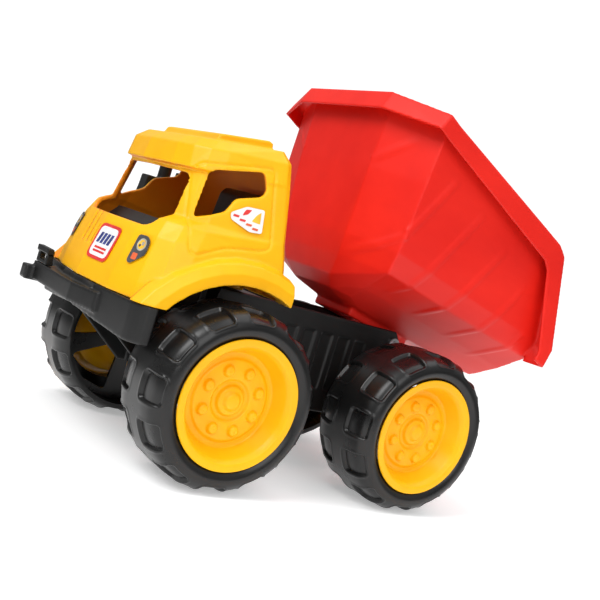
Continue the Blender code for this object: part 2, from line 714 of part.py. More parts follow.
def bed(mats, hinge):
    """Red tub with a folded lip, an under-frame and two hinge ears."""
    tub = add_object("dump_bed", tub_solid("dump_bed", 0.0), mats["red"], hinge)
    cut(tub, [tub_solid("bed_hollow", WALL), trim_mesh("bed_trim")])
    frame = []
    for side in (-1, 1):
        x = sorted((side * 19.0, side * 23.0))
        frame.append(box_mesh(f"bed_rail_{side}", (x[0], -46.0, 3.5), (x[1], 18.0, FLOOR_W + 1)))
        ear = [(-9.0, FLOOR_W + 1), (-9.0, -1.0), (-4.5, -6.0), (4.5, -6.0), (9.0, -1.0),
               (9.0, FLOOR_W + 1)]
        frame.append(profile_mesh(f"bed_ear_{side}", ear, 2.6, side * 21.0))
    frame.append(box_mesh("bed_beam", (-23.0, -46.0, 3.5), (23.0, -42.0, FLOOR_W + 1)))
    join(tub, [bed_lip("bed_lip")] + frame)
    cut(tub, [rod_mesh("bed_pin_bore", PIN_R + GAP, -40, 40, 12)])
    smooth(tub, 20.0)
    return tub


def pin_and_clips(mats):
    """Hinge pin through the chassis and the bed's ears, with a spring clip on each end."""
    pin = rod_mesh("bed_hinge_pin", PIN_R, -34.0, 34.0, 12, (PIN_Y, PIN_Z))
    smooth(add_object("bed_hinge_pin", pin, mats["steel"]))
    for hand, side in (("left", 1), ("right", -1)):
        low, high = CHASSIS_HALF + GAP, CHASSIS_HALF + 1.9
        bore = PIN_R + GAP
        ring = turned_mesh("ring", [(5.0, low * side), (5.0, high * side), (bore, high * side),
                                    (bore, low * side)], 16)
        clip = add_object(f"pin_clip_{hand}", ring, mats["steel"])
        clip.location = Vector((0.0, PIN_Y, PIN_Z)) * MM
        smooth(clip)


# ---------------------------------------------------------------- stickers

def facet(level, point, side):
    """Three corners of the cab's facet above a level, between two of its outline's points."""
    corners = []
    for k, j in ((level, point), (level, point + 1), (level + 1, point)):
        z_front, z_rear, half = cab_levels()[k]
        nose, back = half[0][1], half[-1][1]
        x, y = half[j]
        corners.append(Vector((side * x, y, z_front + (z_rear - z_front) * (y - nose) / (back - nose))))
    return corners


def label(name, corners, outline, outward, mat):
    """A thin plate just off a facet; outline is in the two axes that outward leaves."""
    normal = (corners[1] - corners[0]).cross(corners[2] - corners[0]).normalized()
    if normal.dot(outward) < 0:
        normal = -normal
    solve = 0 if abs(outward.x) > 0.5 else 1
    bm = bmesh.new()
    rings = []
    for off in (LABEL_LIFT, LABEL_LIFT + LABEL_THICK):
        ring = []
        for a, b in outline:
            p = Vector((0.0, a, b)) if solve == 0 else Vector((a, 0.0, b))
            p[solve] = (corners[0] - p).dot(normal) / normal[solve]
            ring.append(bm.verts.new((p + normal * off) * MM))
        rings.append(ring)
    bridge(bm, rings)
    add_object(name, finish(bm, name), mat)


def stickers(mats):
    """Thin labels: a framed badge and two lamp labels on the nose, one label on each door."""
    front = Vector((0.0, -1.0, 0.0))
    badge = [(5.0, 113.0), (25.0, 113.0), (28.0, 116.0), (28.0, 134.0), (25.0, 137.0), (5.0, 137.0),
             (2.0, 134.0), (2.0, 116.0)]
    label("front_badge", facet(1, 0, 1), badge, front, mats["white"])
    lamp = [(45.5, 138.5), (55.5, 138.5), (59.0, 135.0), (60.0, 125.0), (50.0, 117.5), (46.5, 119.0)]
    door = [(-22.0, 157.5), (2.0, 160.0), (3.0, 173.0), (-10.0, 172.0), (-21.0, 163.0)]
    for hand, side in (("left", 1), ("right", -1)):
        label(f"lamp_label_{hand}", facet(1, 1, side), [(side * x, z) for x, z in lamp], front,
              mats["grey"])
        label(f"door_label_{hand}", facet(4, 4, side), door, Vector((side, 0.0, 0.0)), mats["white"])


CUTTERS = None
TRUCK = None
ORIGIN = None


def build():
    global CUTTERS, TRUCK, ORIGIN
    clear_scene()
    TRUCK = new_collection("toy_dump_truck")
    CUTTERS = new_collection("cutters")
    ORIGIN = empty("truck_origin", (0.0, FRONT_AXLE_Y, 0.0))
    mats = {
        "yellow": make_material("yellow_plastic", YELLOW, 0.35),
        "red": make_material("red_plastic", RED, 0.35),
        "black": make_material("black_plastic", BLACK, 0.4),
        "tyre": make_material("tyre_plastic", BLACK, 0.45),
        "steel": make_material("zinc_steel", STEEL, 0.3, 1.0),
        "white": make_material("label_white", WHITE, 0.3),
        "grey": make_material("label_grey", GREY, 0.3),
    }
    chassis(mats)
    cab_screws(mats)
    bumper(mats)
    bumper_bracket(mats)
    cab(mats)
    stickers(mats)
    interior(mats)
    air_box(mats)
    axle("front_axle", 0.0, mats["steel"])
    axle("rear_axle", WHEELBASE, mats["steel"])
    for end, y in (("front", 0.0), ("rear", WHEELBASE)):
        for hand, side in (("left", 1), ("right", -1)):
            wheel(f"{end}_{hand}", y, side, mats)
    hinge = empty("bed_hinge", (0.0, PIN_Y, PIN_Z), ORIGIN, -RAISE_AT_REST)
    bed(mats, hinge)
    pin_and_clips(mats)


build()
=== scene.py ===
import math

import bmesh
import bpy
from mathutils import Matrix, Vector
from mathutils.bvhtree import BVHTree


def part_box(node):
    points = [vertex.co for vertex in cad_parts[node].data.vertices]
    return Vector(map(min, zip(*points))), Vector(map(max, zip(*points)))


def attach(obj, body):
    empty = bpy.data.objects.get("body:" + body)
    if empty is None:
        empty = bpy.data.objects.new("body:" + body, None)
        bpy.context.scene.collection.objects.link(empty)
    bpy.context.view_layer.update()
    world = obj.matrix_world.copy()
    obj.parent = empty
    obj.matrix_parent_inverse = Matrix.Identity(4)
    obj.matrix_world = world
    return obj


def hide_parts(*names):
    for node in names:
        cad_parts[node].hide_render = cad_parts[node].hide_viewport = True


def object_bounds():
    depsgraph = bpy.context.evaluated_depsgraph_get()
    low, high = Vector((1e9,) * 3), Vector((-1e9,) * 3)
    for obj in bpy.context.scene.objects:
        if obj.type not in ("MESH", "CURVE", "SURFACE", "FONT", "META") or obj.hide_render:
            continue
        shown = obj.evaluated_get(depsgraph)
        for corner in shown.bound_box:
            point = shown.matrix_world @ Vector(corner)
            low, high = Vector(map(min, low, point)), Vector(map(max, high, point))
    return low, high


# The toy dump truck's looks. +X is the truck's left, -Y its front, +Z up. Lengths in the tables
# and helpers below are millimetres from the front axle (Y), the centre line (X) and the ground (Z).

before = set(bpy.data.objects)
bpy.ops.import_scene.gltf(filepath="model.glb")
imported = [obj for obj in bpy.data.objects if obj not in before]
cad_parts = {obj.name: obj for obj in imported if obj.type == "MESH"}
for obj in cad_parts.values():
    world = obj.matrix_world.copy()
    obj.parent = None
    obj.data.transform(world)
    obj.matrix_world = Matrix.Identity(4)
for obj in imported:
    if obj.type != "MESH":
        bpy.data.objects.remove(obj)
CAD_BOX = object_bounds()

MM = 0.001
AXLE_LOW, AXLE_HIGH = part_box("front_axle")
AXLE_Y = (AXLE_LOW.y + AXLE_HIGH.y) / 2
REAR_LOW, REAR_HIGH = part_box("rear_axle")
WHEELBASE = ((REAR_LOW.y + REAR_HIGH.y) / 2 - AXLE_Y) / MM
TYRE_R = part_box("tyre_front_left")[1].z / 2 / MM
TYRE_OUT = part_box("tyre_front_left")[1].x / MM
SIDES = (("left", 1), ("right", -1))


def at(x, y, z):
    """A place in the truck's millimetres, as a point in the frame."""
    return Vector((x * MM, AXLE_Y + y * MM, z * MM))


# ---------------------------------------------------------------- materials

def shader_nodes(name):
    mat = bpy.data.materials.new(name)
    mat.use_nodes = True
    tree = mat.node_tree
    return mat, tree.nodes, tree.links, tree.nodes["Principled BSDF"]


def noise_node(nodes, links, scale, detail=3.0, stretch=(1.0, 1.0, 1.0)):
    """Object-space noise; stretch squeezes it along an axis, for streaks."""
    coords = nodes.new("ShaderNodeTexCoord")
    mapping = nodes.new("ShaderNodeMapping")
    mapping.inputs["Scale"].default_value = stretch
    noise = nodes.new("ShaderNodeTexNoise")
    noise.inputs["Scale"].default_value = scale
    noise.inputs["Detail"].default_value = detail
    links.new(coords.outputs["Object"], mapping.inputs["Vector"])
    links.new(mapping.outputs["Vector"], noise.inputs["Vector"])
    return noise.outputs["Fac"]


def ramp_node(nodes, links, source, low, high, start=0.3, stop=0.7):
    ramp = nodes.new("ShaderNodeValToRGB")
    ramp.color_ramp.elements[0].position = start
    ramp.color_ramp.elements[0].color = (*low, 1.0)
    ramp.color_ramp.elements[1].position = stop
    ramp.color_ramp.elements[1].color = (*high, 1.0)
    links.new(source, ramp.inputs["Fac"])
    return ramp.outputs["Color"]


def range_node(nodes, links, source, low, high):
    span = nodes.new("ShaderNodeMapRange")
    span.inputs["To Min"].default_value = low
    span.inputs["To Max"].default_value = high
    links.new(source, span.inputs["Value"])
    return span.outputs["Result"]


def bump_node(nodes, links, source, strength, distance, under=None):
    bump = nodes.new("ShaderNodeBump")
    bump.inputs["Strength"].default_value = strength
    bump.inputs["Distance"].default_value = distance
    links.new(source, bump.inputs["Height"])
    if under is not None:
        links.new(under, bump.inputs["Normal"])
    return bump.outputs["Normal"]


def plastic(name, dark, light, roughness, grain=0.06, streak=(1.0, 1.0, 1.0), glow=0.0,
            shine=0.5):
    """Moulded plastic: cloudy colour, uneven gloss, a slow ripple and a fine grain."""
    mat, nodes, links, shader = shader_nodes(name)
    cloud = noise_node(nodes, links, 22.0, 4.0, streak)
    links.new(ramp_node(nodes, links, cloud, dark, light), shader.inputs["Base Color"])
    gloss = noise_node(nodes, links, 60.0, 5.0, streak)
    links.new(range_node(nodes, links, gloss, *roughness), shader.inputs["Roughness"])
    ripple = bump_node(nodes, links, noise_node(nodes, links, 35.0, 2.0, streak), 0.25, 0.0006)
    fine = bump_node(nodes, links, noise_node(nodes, links, 1400.0), grain, 0.0002, ripple)
    links.new(fine, shader.inputs["Normal"])
    shader.inputs["IOR"].default_value = 1.5
    shader.inputs["Specular IOR Level"].default_value = shine
    if glow:
        shader.inputs["Subsurface Weight"].default_value = glow
        shader.inputs["Subsurface Radius"].default_value = (0.004, 0.002, 0.0004)
        shader.inputs["Subsurface Scale"].default_value = 1.0
    return mat


def zinc(name):
    """Plated steel: brushed round, with cloudy plating."""
    mat, nodes, links, shader = shader_nodes(name)
    cloud = noise_node(nodes, links, 90.0, 4.0)
    links.new(ramp_node(nodes, links, cloud, (0.42, 0.42, 0.43), (0.66, 0.67, 0.69)),
              shader.inputs["Base Color"])
    gloss = noise_node(nodes, links, 240.0, 3.0, (6.0, 1.0, 1.0))
    links.new(range_node(nodes, links, gloss, 0.24, 0.42), shader.inputs["Roughness"])
    links.new(bump_node(nodes, links, gloss, 0.15, 0.0001), shader.inputs["Normal"])
    shader.inputs["Metallic"].default_value = 1.0
    return mat


def print_film(name, dark, light, rough=(0.25, 0.4)):
    """Printed vinyl: near-flat ink under a glossy film, with a faint orange peel."""
    mat, nodes, links, shader = shader_nodes(name)
    cloud = noise_node(nodes, links, 160.0, 5.0)
    links.new(ramp_node(nodes, links, cloud, dark, light), shader.inputs["Base Color"])
    gloss = noise_node(nodes, links, 320.0, 2.0)
    links.new(range_node(nodes, links, gloss, *rough), shader.inputs["Roughness"])
    links.new(bump_node(nodes, links, gloss, 0.1, 0.0001), shader.inputs["Normal"])
    shader.inputs["Coat Weight"].default_value = 0.3
    return mat


YELLOW = plastic("yellow_abs", (0.90, 0.42, 0.001), (0.97, 0.50, 0.002), (0.32, 0.44), glow=0.04,
                 shine=0.3)
# A darker orange copy of the yellow, used as painted shade on the cab's inside faces.
SHADE_YELLOW = plastic("yellow_abs_painted_shade", (0.80, 0.22, 0.003), (0.92, 0.30, 0.005), (0.34, 0.46))
RED = plastic("red_pp", (0.74, 0.012, 0.006), (0.86, 0.020, 0.010), (0.38, 0.52), 0.08,
              (1.0, 0.35, 1.0), glow=0.04, shine=0.3)
BLACK = plastic("black_pp", (0.006, 0.006, 0.006), (0.012, 0.012, 0.012), (0.30, 0.46), 0.10, shine=0.4)
TYRE = plastic("tyre_pe", (0.004, 0.004, 0.004), (0.009, 0.009, 0.009), (0.22, 0.36), 0.07, shine=0.4)
STEEL = zinc("zinc_plate")
WHITE_INK = print_film("white_vinyl", (0.78, 0.78, 0.79), (0.86, 0.86, 0.87))
RED_INK = print_film("red_ink", (0.62, 0.02, 0.02), (0.74, 0.035, 0.03))
BLUE_INK = print_film("blue_ink", (0.02, 0.03, 0.16), (0.03, 0.05, 0.24))
AMBER_INK = print_film("amber_ink", (0.80, 0.42, 0.02), (0.92, 0.55, 0.04))
GREY_INK = print_film("grey_ink", (0.045, 0.045, 0.05), (0.085, 0.085, 0.09))
PALE_INK = print_film("pale_ink", (0.34, 0.32, 0.26), (0.62, 0.58, 0.46))
ORANGE_INK = print_film("orange_ink", (0.62, 0.09, 0.03), (0.85, 0.16, 0.05))


# ---------------------------------------------------------------- mesh helpers

def rounded(points, radius, steps=4, closed=False):
    """A polyline with its corners rounded by short curves that start radius from each corner."""
    pts = [Vector(p) for p in points]
    count = len(pts)
    out = []
    for k, here in enumerate(pts):
        if not closed and k in (0, count - 1):
            out.append(here)
            continue
        before, after = pts[k - 1], pts[(k + 1) % count]
        start = here + (before - here).normalized() * min(radius, (before - here).length * 0.48)
        stop = here + (after - here).normalized() * min(radius, (after - here).length * 0.48)
        for i in range(steps + 1):
            t = i / steps
            out.append(start * (1 - t) ** 2 + here * 2 * t * (1 - t) + stop * t * t)
    return out


def stepped(points, step):
    """The same polyline with a point at least every step."""
    out = [points[0]]
    for a, b in zip(points, points[1:]):
        parts = max(1, math.ceil((b - a).length / step))
        out += [a.lerp(b, (i + 1) / parts) for i in range(parts)]
    return out


def mesh_of(bm, name, smooth=True):
    bmesh.ops.recalc_face_normals(bm, faces=bm.faces)
    mesh = bpy.data.meshes.new(name)
    bm.to_mesh(mesh)
    bm.free()
    if smooth:
        mesh.shade_smooth()
    return mesh


def put(name, mesh, body, mat, nodes=()):
    """Link a mesh as a piece that rides on a body and stands for CAD nodes."""
    obj = bpy.data.objects.new(name, mesh)
    bpy.context.scene.collection.objects.link(obj)
    if mat is not None:
        mesh.materials.append(mat)
    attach(obj, body)
    if nodes:
        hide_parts(*nodes)
    return obj


def evaluated(obj):
    """Apply the object's modifiers and give its mesh; the object is removed."""
    deps = bpy.context.evaluated_depsgraph_get()
    mesh = bpy.data.meshes.new_from_object(obj.evaluated_get(deps))
    bpy.data.objects.remove(obj)
    return mesh


def loose(mesh):
    obj = bpy.data.objects.new("work", mesh)
    bpy.context.scene.collection.objects.link(obj)
    return obj


def bridge(bm, rings, caps=True, ring_closed=True):
    """Side faces between equal rings of vertices, with end caps if asked."""
    span = len(rings[0]) if ring_closed else len(rings[0]) - 1
    for a, b in zip(rings, rings[1:]):
        for i in range(span):
            j = (i + 1) % len(a)
            bm.faces.new((a[i], a[j], b[j], b[i]))
    if caps:
        bm.faces.new(rings[0])
        bm.faces.new(rings[-1])


def turned(name, profile, steps, side=1, centre=(0.0, 0.0), shift=None):
    """An (radius, X) profile turned about the wheel axis at centre (Y, Z).

    Where shift is given, it says how far a point stands off the surface at its angle and place
    on the profile.
    """
    bm = bmesh.new()
    pts = [Vector(p) for p in profile]
    count = len(pts)
    rings = []
    for angle in steps:
        c, s = math.cos(angle), math.sin(angle)
        ring = []
        for k, p in enumerate(pts):
            spot = p
            if shift is not None:
                along = (pts[(k + 1) % count] - pts[k - 1]).normalized()
                spot = p + Vector((-along.y, along.x)) * shift(angle, p)
            ring.append(bm.verts.new(at(side * spot.y, centre[0] + spot.x * s, centre[1] + spot.x * c)))
        rings.append(ring)
    bridge(bm, rings + [rings[0]], caps=False)
    return mesh_of(bm, name)


def whole_turn(steps):
    return [2 * math.pi * k / steps for k in range(steps)]


def joined(name, meshes):
    bm = bmesh.new()
    for mesh in meshes:
        bm.from_mesh(mesh)
    return mesh_of(bm, name)


def cad_mesh(node):
    """A clean copy of a CAD node's mesh, to be worked on."""
    bm = bmesh.new()
    bm.from_mesh(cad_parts[node].data)
    bmesh.ops.remove_doubles(bm, verts=bm.verts, dist=1e-6)
    return mesh_of(bm, node, smooth=False)


def moulded(name, node, body, mat, voxel, rounds, adds=(), cuts=()):
    """A CAD node as a moulding: details added and cut, then every edge softened."""
    obj = loose(joined(name, [cad_mesh(node), *adds]))
    for mesh in cuts:
        tool = loose(mesh)
        tool.hide_render = True
        mod = obj.modifiers.new("cut", "BOOLEAN")
        mod.operation = "DIFFERENCE"
        mod.solver = "MANIFOLD"
        mod.object = tool
    blocks = obj.modifiers.new("skin", "REMESH")
    blocks.mode = "VOXEL"
    blocks.voxel_size = voxel * MM
    blocks.use_smooth_shade = True
    soft = obj.modifiers.new("soft", "SMOOTH")
    soft.factor = 0.5
    soft.iterations = rounds
    tools = [m.object for m in obj.modifiers if m.type == "BOOLEAN"]
    mesh = evaluated(obj)
    for tool in tools:
        bpy.data.objects.remove(tool)
    mesh.materials.clear()
    mesh.shade_smooth()
    return put(name, mesh, body, mat, [node])


def tube(path, radius, sides=8, closed=True):
    """A round bead or cutter along a list of points in the frame."""
    bm = bmesh.new()
    rings = []
    count = len(path)
    for k, p in enumerate(path):
        before = path[k - 1] if closed or k else p
        after = path[(k + 1) % count] if closed or k < count - 1 else p
        along = (after - before).normalized()
        side = along.cross(Vector((0, 0, 1)) if abs(along.z) < 0.9 else Vector((1, 0, 0))).normalized()
        up = side.cross(along)
        rings.append([bm.verts.new(p + (side * math.cos(t) + up * math.sin(t)) * radius * MM)
                      for t in whole_turn(sides)])
    bridge(bm, rings + ([rings[0]] if closed else []), caps=not closed)
    return mesh_of(bm, "tube")


def side_hits(tree, points, side, reach=150.0):
    """Where lines across the truck, at (Y, Z) points, first meet a surface, with its normals."""
    hits = []
    for y, z in points:
        spot, normal, _, _ = tree.ray_cast(at(side * reach, y, z), Vector((-side, 0, 0)))
        if spot is not None:
            hits.append((spot, normal))
    return hits


def tree_of(node):
    bm = bmesh.new()
    bm.from_mesh(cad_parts[node].data)
    tree = BVHTree.FromBMesh(bm)
    bm.free()
    return tree


# ---------------------------------------------------------------- wheels

LUGS = 12
PITCH = 2 * math.pi / LUGS
POCKET_HALF = math.radians(9.0)
POCKET_CORNER = 3.0
POCKET_DEPTH = 2.2
POCKET_RIDGE = 0.4
TREAD_MIDDLE = 77.0
POCKET_REACH = 18.5       # a pocket's middle, from the tread's middle along the surface
POCKET_LENGTH_HALF = 11.5
POCKET_FADE_R = 47.5      # radius inside which the sidewall is plain
POCKET_FADE = 2.5


def tyre_skin():
    """(radius, X) over the tyre's outside, from the rim seat to the open inner side."""
    line = [(38.6, 98.0), (41.6, 102.6), (46.5, TYRE_OUT - 0.2), (51.5, 103.4), (55.6, 98.5),
            (TYRE_R, 91.0), (TYRE_R, 63.0), (55.4, 56.0), (52.8, 50.8), (51.0, 49.2), (48.5, 49.4)]
    return stepped(rounded(line, 4.0, 5), 0.9)


def pocket_offset(angle, p):
    """Moulded pockets that wrap over both shoulders, each inside a fine raised outline."""
    turn = (angle + PITCH / 2) % PITCH - PITCH / 2
    across = abs(turn) * TYRE_R - POCKET_HALF * TYRE_R
    reach = abs(p.y - TREAD_MIDDLE)
    sunk = max(0.0, TYRE_R - p.x)
    along = abs(reach + sunk * 0.7 - POCKET_REACH) - POCKET_LENGTH_HALF
    outside = Vector((max(across + POCKET_CORNER, 0.0), max(along + POCKET_CORNER, 0.0))).length
    edge = outside + min(max(across, along) + POCKET_CORNER, 0.0) - POCKET_CORNER
    fall = min(max((edge + 1.0) / 1.0, 0.0), 1.0)
    fall = fall * fall * (3 - 2 * fall)
    ridge = max(0.0, 1.0 - abs(edge - 0.9) / 0.9) * POCKET_RIDGE
    return (fall - 1.0) * POCKET_DEPTH + ridge


def outer_pocket_offset(angle, p):
    """The pockets' depth, fading out towards the rim seat and absent inside the tyre."""
    return pocket_offset(angle, p) * min(max((p.x - POCKET_FADE_R) / POCKET_FADE, 0.0), 1.0)


def tyre_angles():
    """Angles round the tyre, close together where a pocket's edges are."""
    share = [0.0, 0.14, 0.28, 0.40, 0.46, 0.50, 0.535, 0.57, 0.60, 0.63, 0.66, 0.72, 0.80, 0.90]
    half = [s * PITCH / 2 for s in share]
    sector = [-PITCH / 2] + [-a for a in reversed(half[1:])] + half
    return [k * PITCH + a for k in range(LUGS) for a in sector]


def web_mesh(centre, side):
    """The tyre's inboard web: a thick disc with five windows and a hub tube."""
    slab = [(8.4, 66.0), (48.9, 66.0), (48.9, 69.0), (8.4, 69.0)]
    disc = turned("web", slab, whole_turn(80), side, centre)
    obj = loose(disc)
    tools = []
    for k in range(5):
        bm = bmesh.new()
        rings = []
        middle = math.radians(72.0 * k)
        outline = [(14.5, -0.33), (44.0, -0.46), (45.4, 0.0), (44.0, 0.46), (14.5, 0.33)]
        flat = rounded([(r * math.cos(a), r * math.sin(a)) for r, a in outline], 4.0, 4, True)
        for x in (64.0, 71.0):
            ring = []
            for p in flat:
                q = Matrix.Rotation(middle, 2) @ p
                ring.append(bm.verts.new(at(side * x, centre[0] + q.y, centre[1] + q.x)))
            rings.append(ring)
        bridge(bm, rings)
        tool = loose(mesh_of(bm, "window"))
        tools.append(tool)
        mod = obj.modifiers.new("window", "BOOLEAN")
        mod.operation = "DIFFERENCE"
        mod.object = tool
    web = evaluated(obj)
    for tool in tools:
        bpy.data.objects.remove(tool)
    hub = turned("hub", [(8.0, 50.2), (8.3, 51.0), (8.3, 77.2), (8.0, 78.0), (2.6, 78.0), (2.6, 50.2)],
                 whole_turn(40), side, centre)
    return [web, hub]


def tyre(corner, y, side):
    centre = (y, TYRE_R)
    inside = [(48.5, 62.0), (48.5, 72.0), (47.0, 87.5), (38.6, 89.0)]
    profile = tyre_skin() + stepped([Vector(p) for p in inside], 6.0)
    skin = turned("skin", profile, tyre_angles(), side, centre, outer_pocket_offset)
    mesh = joined(f"tyre_{corner}_moulded", [skin, *web_mesh(centre, side)])
    mesh.set_sharp_from_angle(angle=math.radians(50.0))
    put(f"tyre_{corner}_moulded", mesh, f"wheel_{corner}", TYRE, [f"tyre_{corner}"])


def rim_face():
    """(radius, X) of the rim's outer face from the cap to the flange, and back behind it."""
    front = [(0.02, 95.3), (4.6, 95.2), (6.2, 93.2), (8.8, 93.0), (9.9, 90.2), (12.2, 90.0),
             (13.6, 91.9), (25.2, 91.9), (26.6, 90.2), (30.2, 90.4), (34.2, 100.6), (36.4, 103.7),
             (40.9, 104.0)]
    back = [(41.3, 103.2), (38.0, 101.6), (36.8, 99.0), (33.0, 88.6), (26.0, 88.0), (23.5, 89.6),
            (15.5, 90.0), (14.5, 87.2), (7.6, 87.2), (7.0, 92.0), (0.02, 92.0)]
    return rounded(front, 0.9, 3) + [Vector(p) for p in back]


def rim_nut(angle, y, side):
    """A domed moulded wheel nut on the rim's face."""
    profile = rounded([(4.5, 91.6), (3.7, 92.2), (3.2, 94.3), (2.2, 95.0), (0.02, 95.1), (0.02, 91.2),
                       (4.5, 91.2)], 0.5, 3)
    spot = (19.5 * math.sin(angle), 19.5 * math.cos(angle))
    bm = bmesh.new()
    bm.from_mesh(turned("nut", profile, whole_turn(28), side, (0.0, 0.0)))
    shift = Vector((0.0, (y + spot[0]) * MM, (TYRE_R + spot[1]) * MM))
    bmesh.ops.translate(bm, vec=shift, verts=bm.verts)
    return mesh_of(bm, "nut")


def rim(corner, y, side):
    dish = turned("dish", rim_face(), whole_turn(120), side, (y, TYRE_R))
    nuts = [rim_nut(2 * math.pi * (k + 0.5) / 8, y, side) for k in range(8)]
    mesh = joined(f"rim_{corner}_moulded", [dish, *nuts])
    mesh.set_sharp_from_angle(angle=math.radians(40.0))
    put(f"rim_{corner}_moulded", mesh, f"wheel_{corner}", YELLOW, [f"rim_{corner}"])


def wheels():
    for end, y in (("front", 0.0), ("rear", WHEELBASE)):
        for hand, side in SIDES:
            tyre(f"{end}_{hand}", y, side)
            rim(f"{end}_{hand}", y, side)


# ---------------------------------------------------------------- cab

DOOR_LINE = [(-46.0, 189.0), (3.0, 200.0), (10.5, 152.0), (6.0, 148.5), (-22.0, 144.0), (-42.0, 134.5),
             (-46.0, 138.0)]


def door_grooves():
    """Beads round the door line on each side, cut as a fine groove."""
    tree = tree_of("cab_shell")
    line = rounded(DOOR_LINE, 5.0, 4, True)
    line = stepped(line + [line[0]], 2.5)[:-1]
    grooves = []
    for _, side in SIDES:
        grooves.append(tube([spot for spot, _ in side_hits(tree, line, side)], 0.95))
    return grooves


CAB_MIDDLE = (0.0, -22.0, 160.0)
INWARD = 0.004            # metres that a face looks towards the middle before it counts as inside


def paint_inside_shade(obj, middle):
    """Painted shade: a darker orange copy of the yellow on the faces that look in at the cab's hollow,
    standing in for the shade inside it.
    """
    obj.data.materials.append(SHADE_YELLOW)
    heart = at(*middle)
    for face in obj.data.polygons:
        if face.normal.dot(heart - face.center) > INWARD:
            face.material_index = 1


def cab():
    shell = moulded("cab_moulded", "cab_shell", "chassis", YELLOW, 0.7, 6,
                    cuts=door_grooves())
    # Painted shade: the faces inside the cab get the darker orange copy of the yellow.
    paint_inside_shade(shell, CAB_MIDDLE)
    moulded("cab_floor_moulded", "cab_interior", "chassis", BLACK, 0.8, 3)
    moulded("seat_moulded", "cab_seat", "chassis", BLACK, 0.8, 10)
    moulded("air_filter_moulded", "air_filter_box", "chassis", BLACK, 0.6, 3)


# ---------------------------------------------------------------- bed

RIBS = [((97.0, 250.0), (56.0, 180.0)), ((130.0, 234.0), (86.0, 160.0)),
        ((163.0, 218.0), (119.0, 145.0)), ((196.0, 200.0), (155.0, 135.0)),
        ((229.0, 179.0), (194.0, 125.0)), ((249.0, 151.0), (230.0, 115.0))]
RIB_HALF = 3.2
RIB_RISE = 0.85


def side_ribs():
    """Shallow slanting ribs moulded on the bed's flanks, below its lip."""
    tree = tree_of("dump_bed")
    lip_x = (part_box("dump_bed")[1].x / MM) - 4.0
    ribs = []
    for _, side in SIDES:
        for top, low in RIBS:
            line = stepped([Vector(low), Vector(top)], 3.0)
            hits = [(s, n) for s, n in side_hits(tree, line, side) if abs(s.x) / MM < lip_x]
            bm = bmesh.new()
            rings = []
            for k, (spot, normal) in enumerate(hits):
                along = (hits[min(k + 1, len(hits) - 1)][0] - hits[max(k - 1, 0)][0]).normalized()
                across = along.cross(normal).normalized()
                ring = []
                for t in range(9):
                    a = math.pi * t / 8
                    rise = RIB_RISE * math.sin(a) * min(1.0, 0.15 + 0.3 * min(k, len(hits) - 1 - k))
                    off = across * RIB_HALF * math.cos(a) + normal * rise
                    ring.append(bm.verts.new(spot + off * MM))
                ring.append(bm.verts.new(spot - (across * RIB_HALF + normal * 1.0) * MM))
                ring.append(bm.verts.new(spot + (across * RIB_HALF - normal * 1.0) * MM))
                rings.append(ring)
            bridge(bm, rings)
            ribs.append(mesh_of(bm, "rib"))
    return ribs


def bed():
    moulded("bed_moulded", "dump_bed", "bed", RED, 0.9, 8, adds=side_ribs())


# ---------------------------------------------------------------- chassis and bumper

def running_frame():
    moulded("chassis_moulded", "chassis_frame", "chassis", BLACK, 0.8, 3)
    moulded("bumper_moulded", "front_bumper", "chassis", BLACK, 0.8, 4)
    moulded("tow_bracket_moulded", "tow_bracket", "chassis", BLACK, 0.5, 3)


# ---------------------------------------------------------------- labels

def label_frame(node):
    """A label's middle, its rightward and upward directions, and its outward normal."""
    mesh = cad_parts[node].data
    face = max(mesh.polygons, key=lambda f: f.area)
    low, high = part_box(node)
    middle = (low + high) / 2
    outward = Vector((middle.x, 0.0, 0.0)) if abs(face.normal.x) > 0.5 else Vector((0.0, -1.0, 0.0))
    normal = face.normal if face.normal.dot(outward) > 0 else -face.normal
    right = Vector((0, 0, 1)).cross(normal).normalized()
    return middle, right, normal.cross(right), normal


def plate(bm, place, outline, low, high, slot_index, radius=1.0):
    """A thin plate in a label's own plane, from a (right, up) outline in millimetres."""
    middle, right, up, normal = place
    flat = rounded(outline, radius, 4, True)
    rings = [[bm.verts.new(middle + (right * p.x + up * p.y + normal * h) * MM) for p in flat]
             for h in (low, high)]
    before = len(bm.faces)
    bridge(bm, rings)
    bm.faces.ensure_lookup_table()
    for face in bm.faces[before:]:
        face.material_index = slot_index


def disc_outline(radius, centre=(0.0, 0.0), steps=20):
    x, y = centre
    return [(x + radius * math.cos(t), y + radius * math.sin(t)) for t in whole_turn(steps)]


def box_outline(half_w, half_h, centre=(0.0, 0.0), lean=0.0):
    """A rectangle's corners; lean slides its top to the right."""
    x, y = centre
    return [(x - half_w - lean, y - half_h), (x + half_w - lean, y - half_h),
            (x + half_w + lean, y + half_h), (x - half_w + lean, y + half_h)]


def sticker(name, node, inks, layers):
    """Layers of (outline, thickness, ink number, corner radius), from the bottom up."""
    place = label_frame(node)
    bm = bmesh.new()
    for outline, top, ink, radius in layers:
        plate(bm, place, outline, -0.15, top, ink, radius)
    mesh = mesh_of(bm, name, smooth=False)
    for ink in inks:
        mesh.materials.append(ink)
    put(name, mesh, "chassis", None, [node])


def badge():
    """A framed badge with slanting bars."""
    bars = [(box_outline(1.6, 3.6, (x, 2.2), 0.8), 0.27, 2, 0.5) for x in (-6.6, -2.2, 2.2, 6.6)]
    lines = [(box_outline(7.5, 0.7, (0.0, -4.4 - 2.4 * k)), 0.27, 1, 0.4) for k in range(2)]
    sticker("front_badge_print", "front_badge", [WHITE_INK, RED_INK, BLUE_INK],
            [(box_outline(13.0, 12.0), 0.12, 1, 4.5), (box_outline(11.0, 10.0), 0.2, 0, 3.8),
             *bars, *lines])


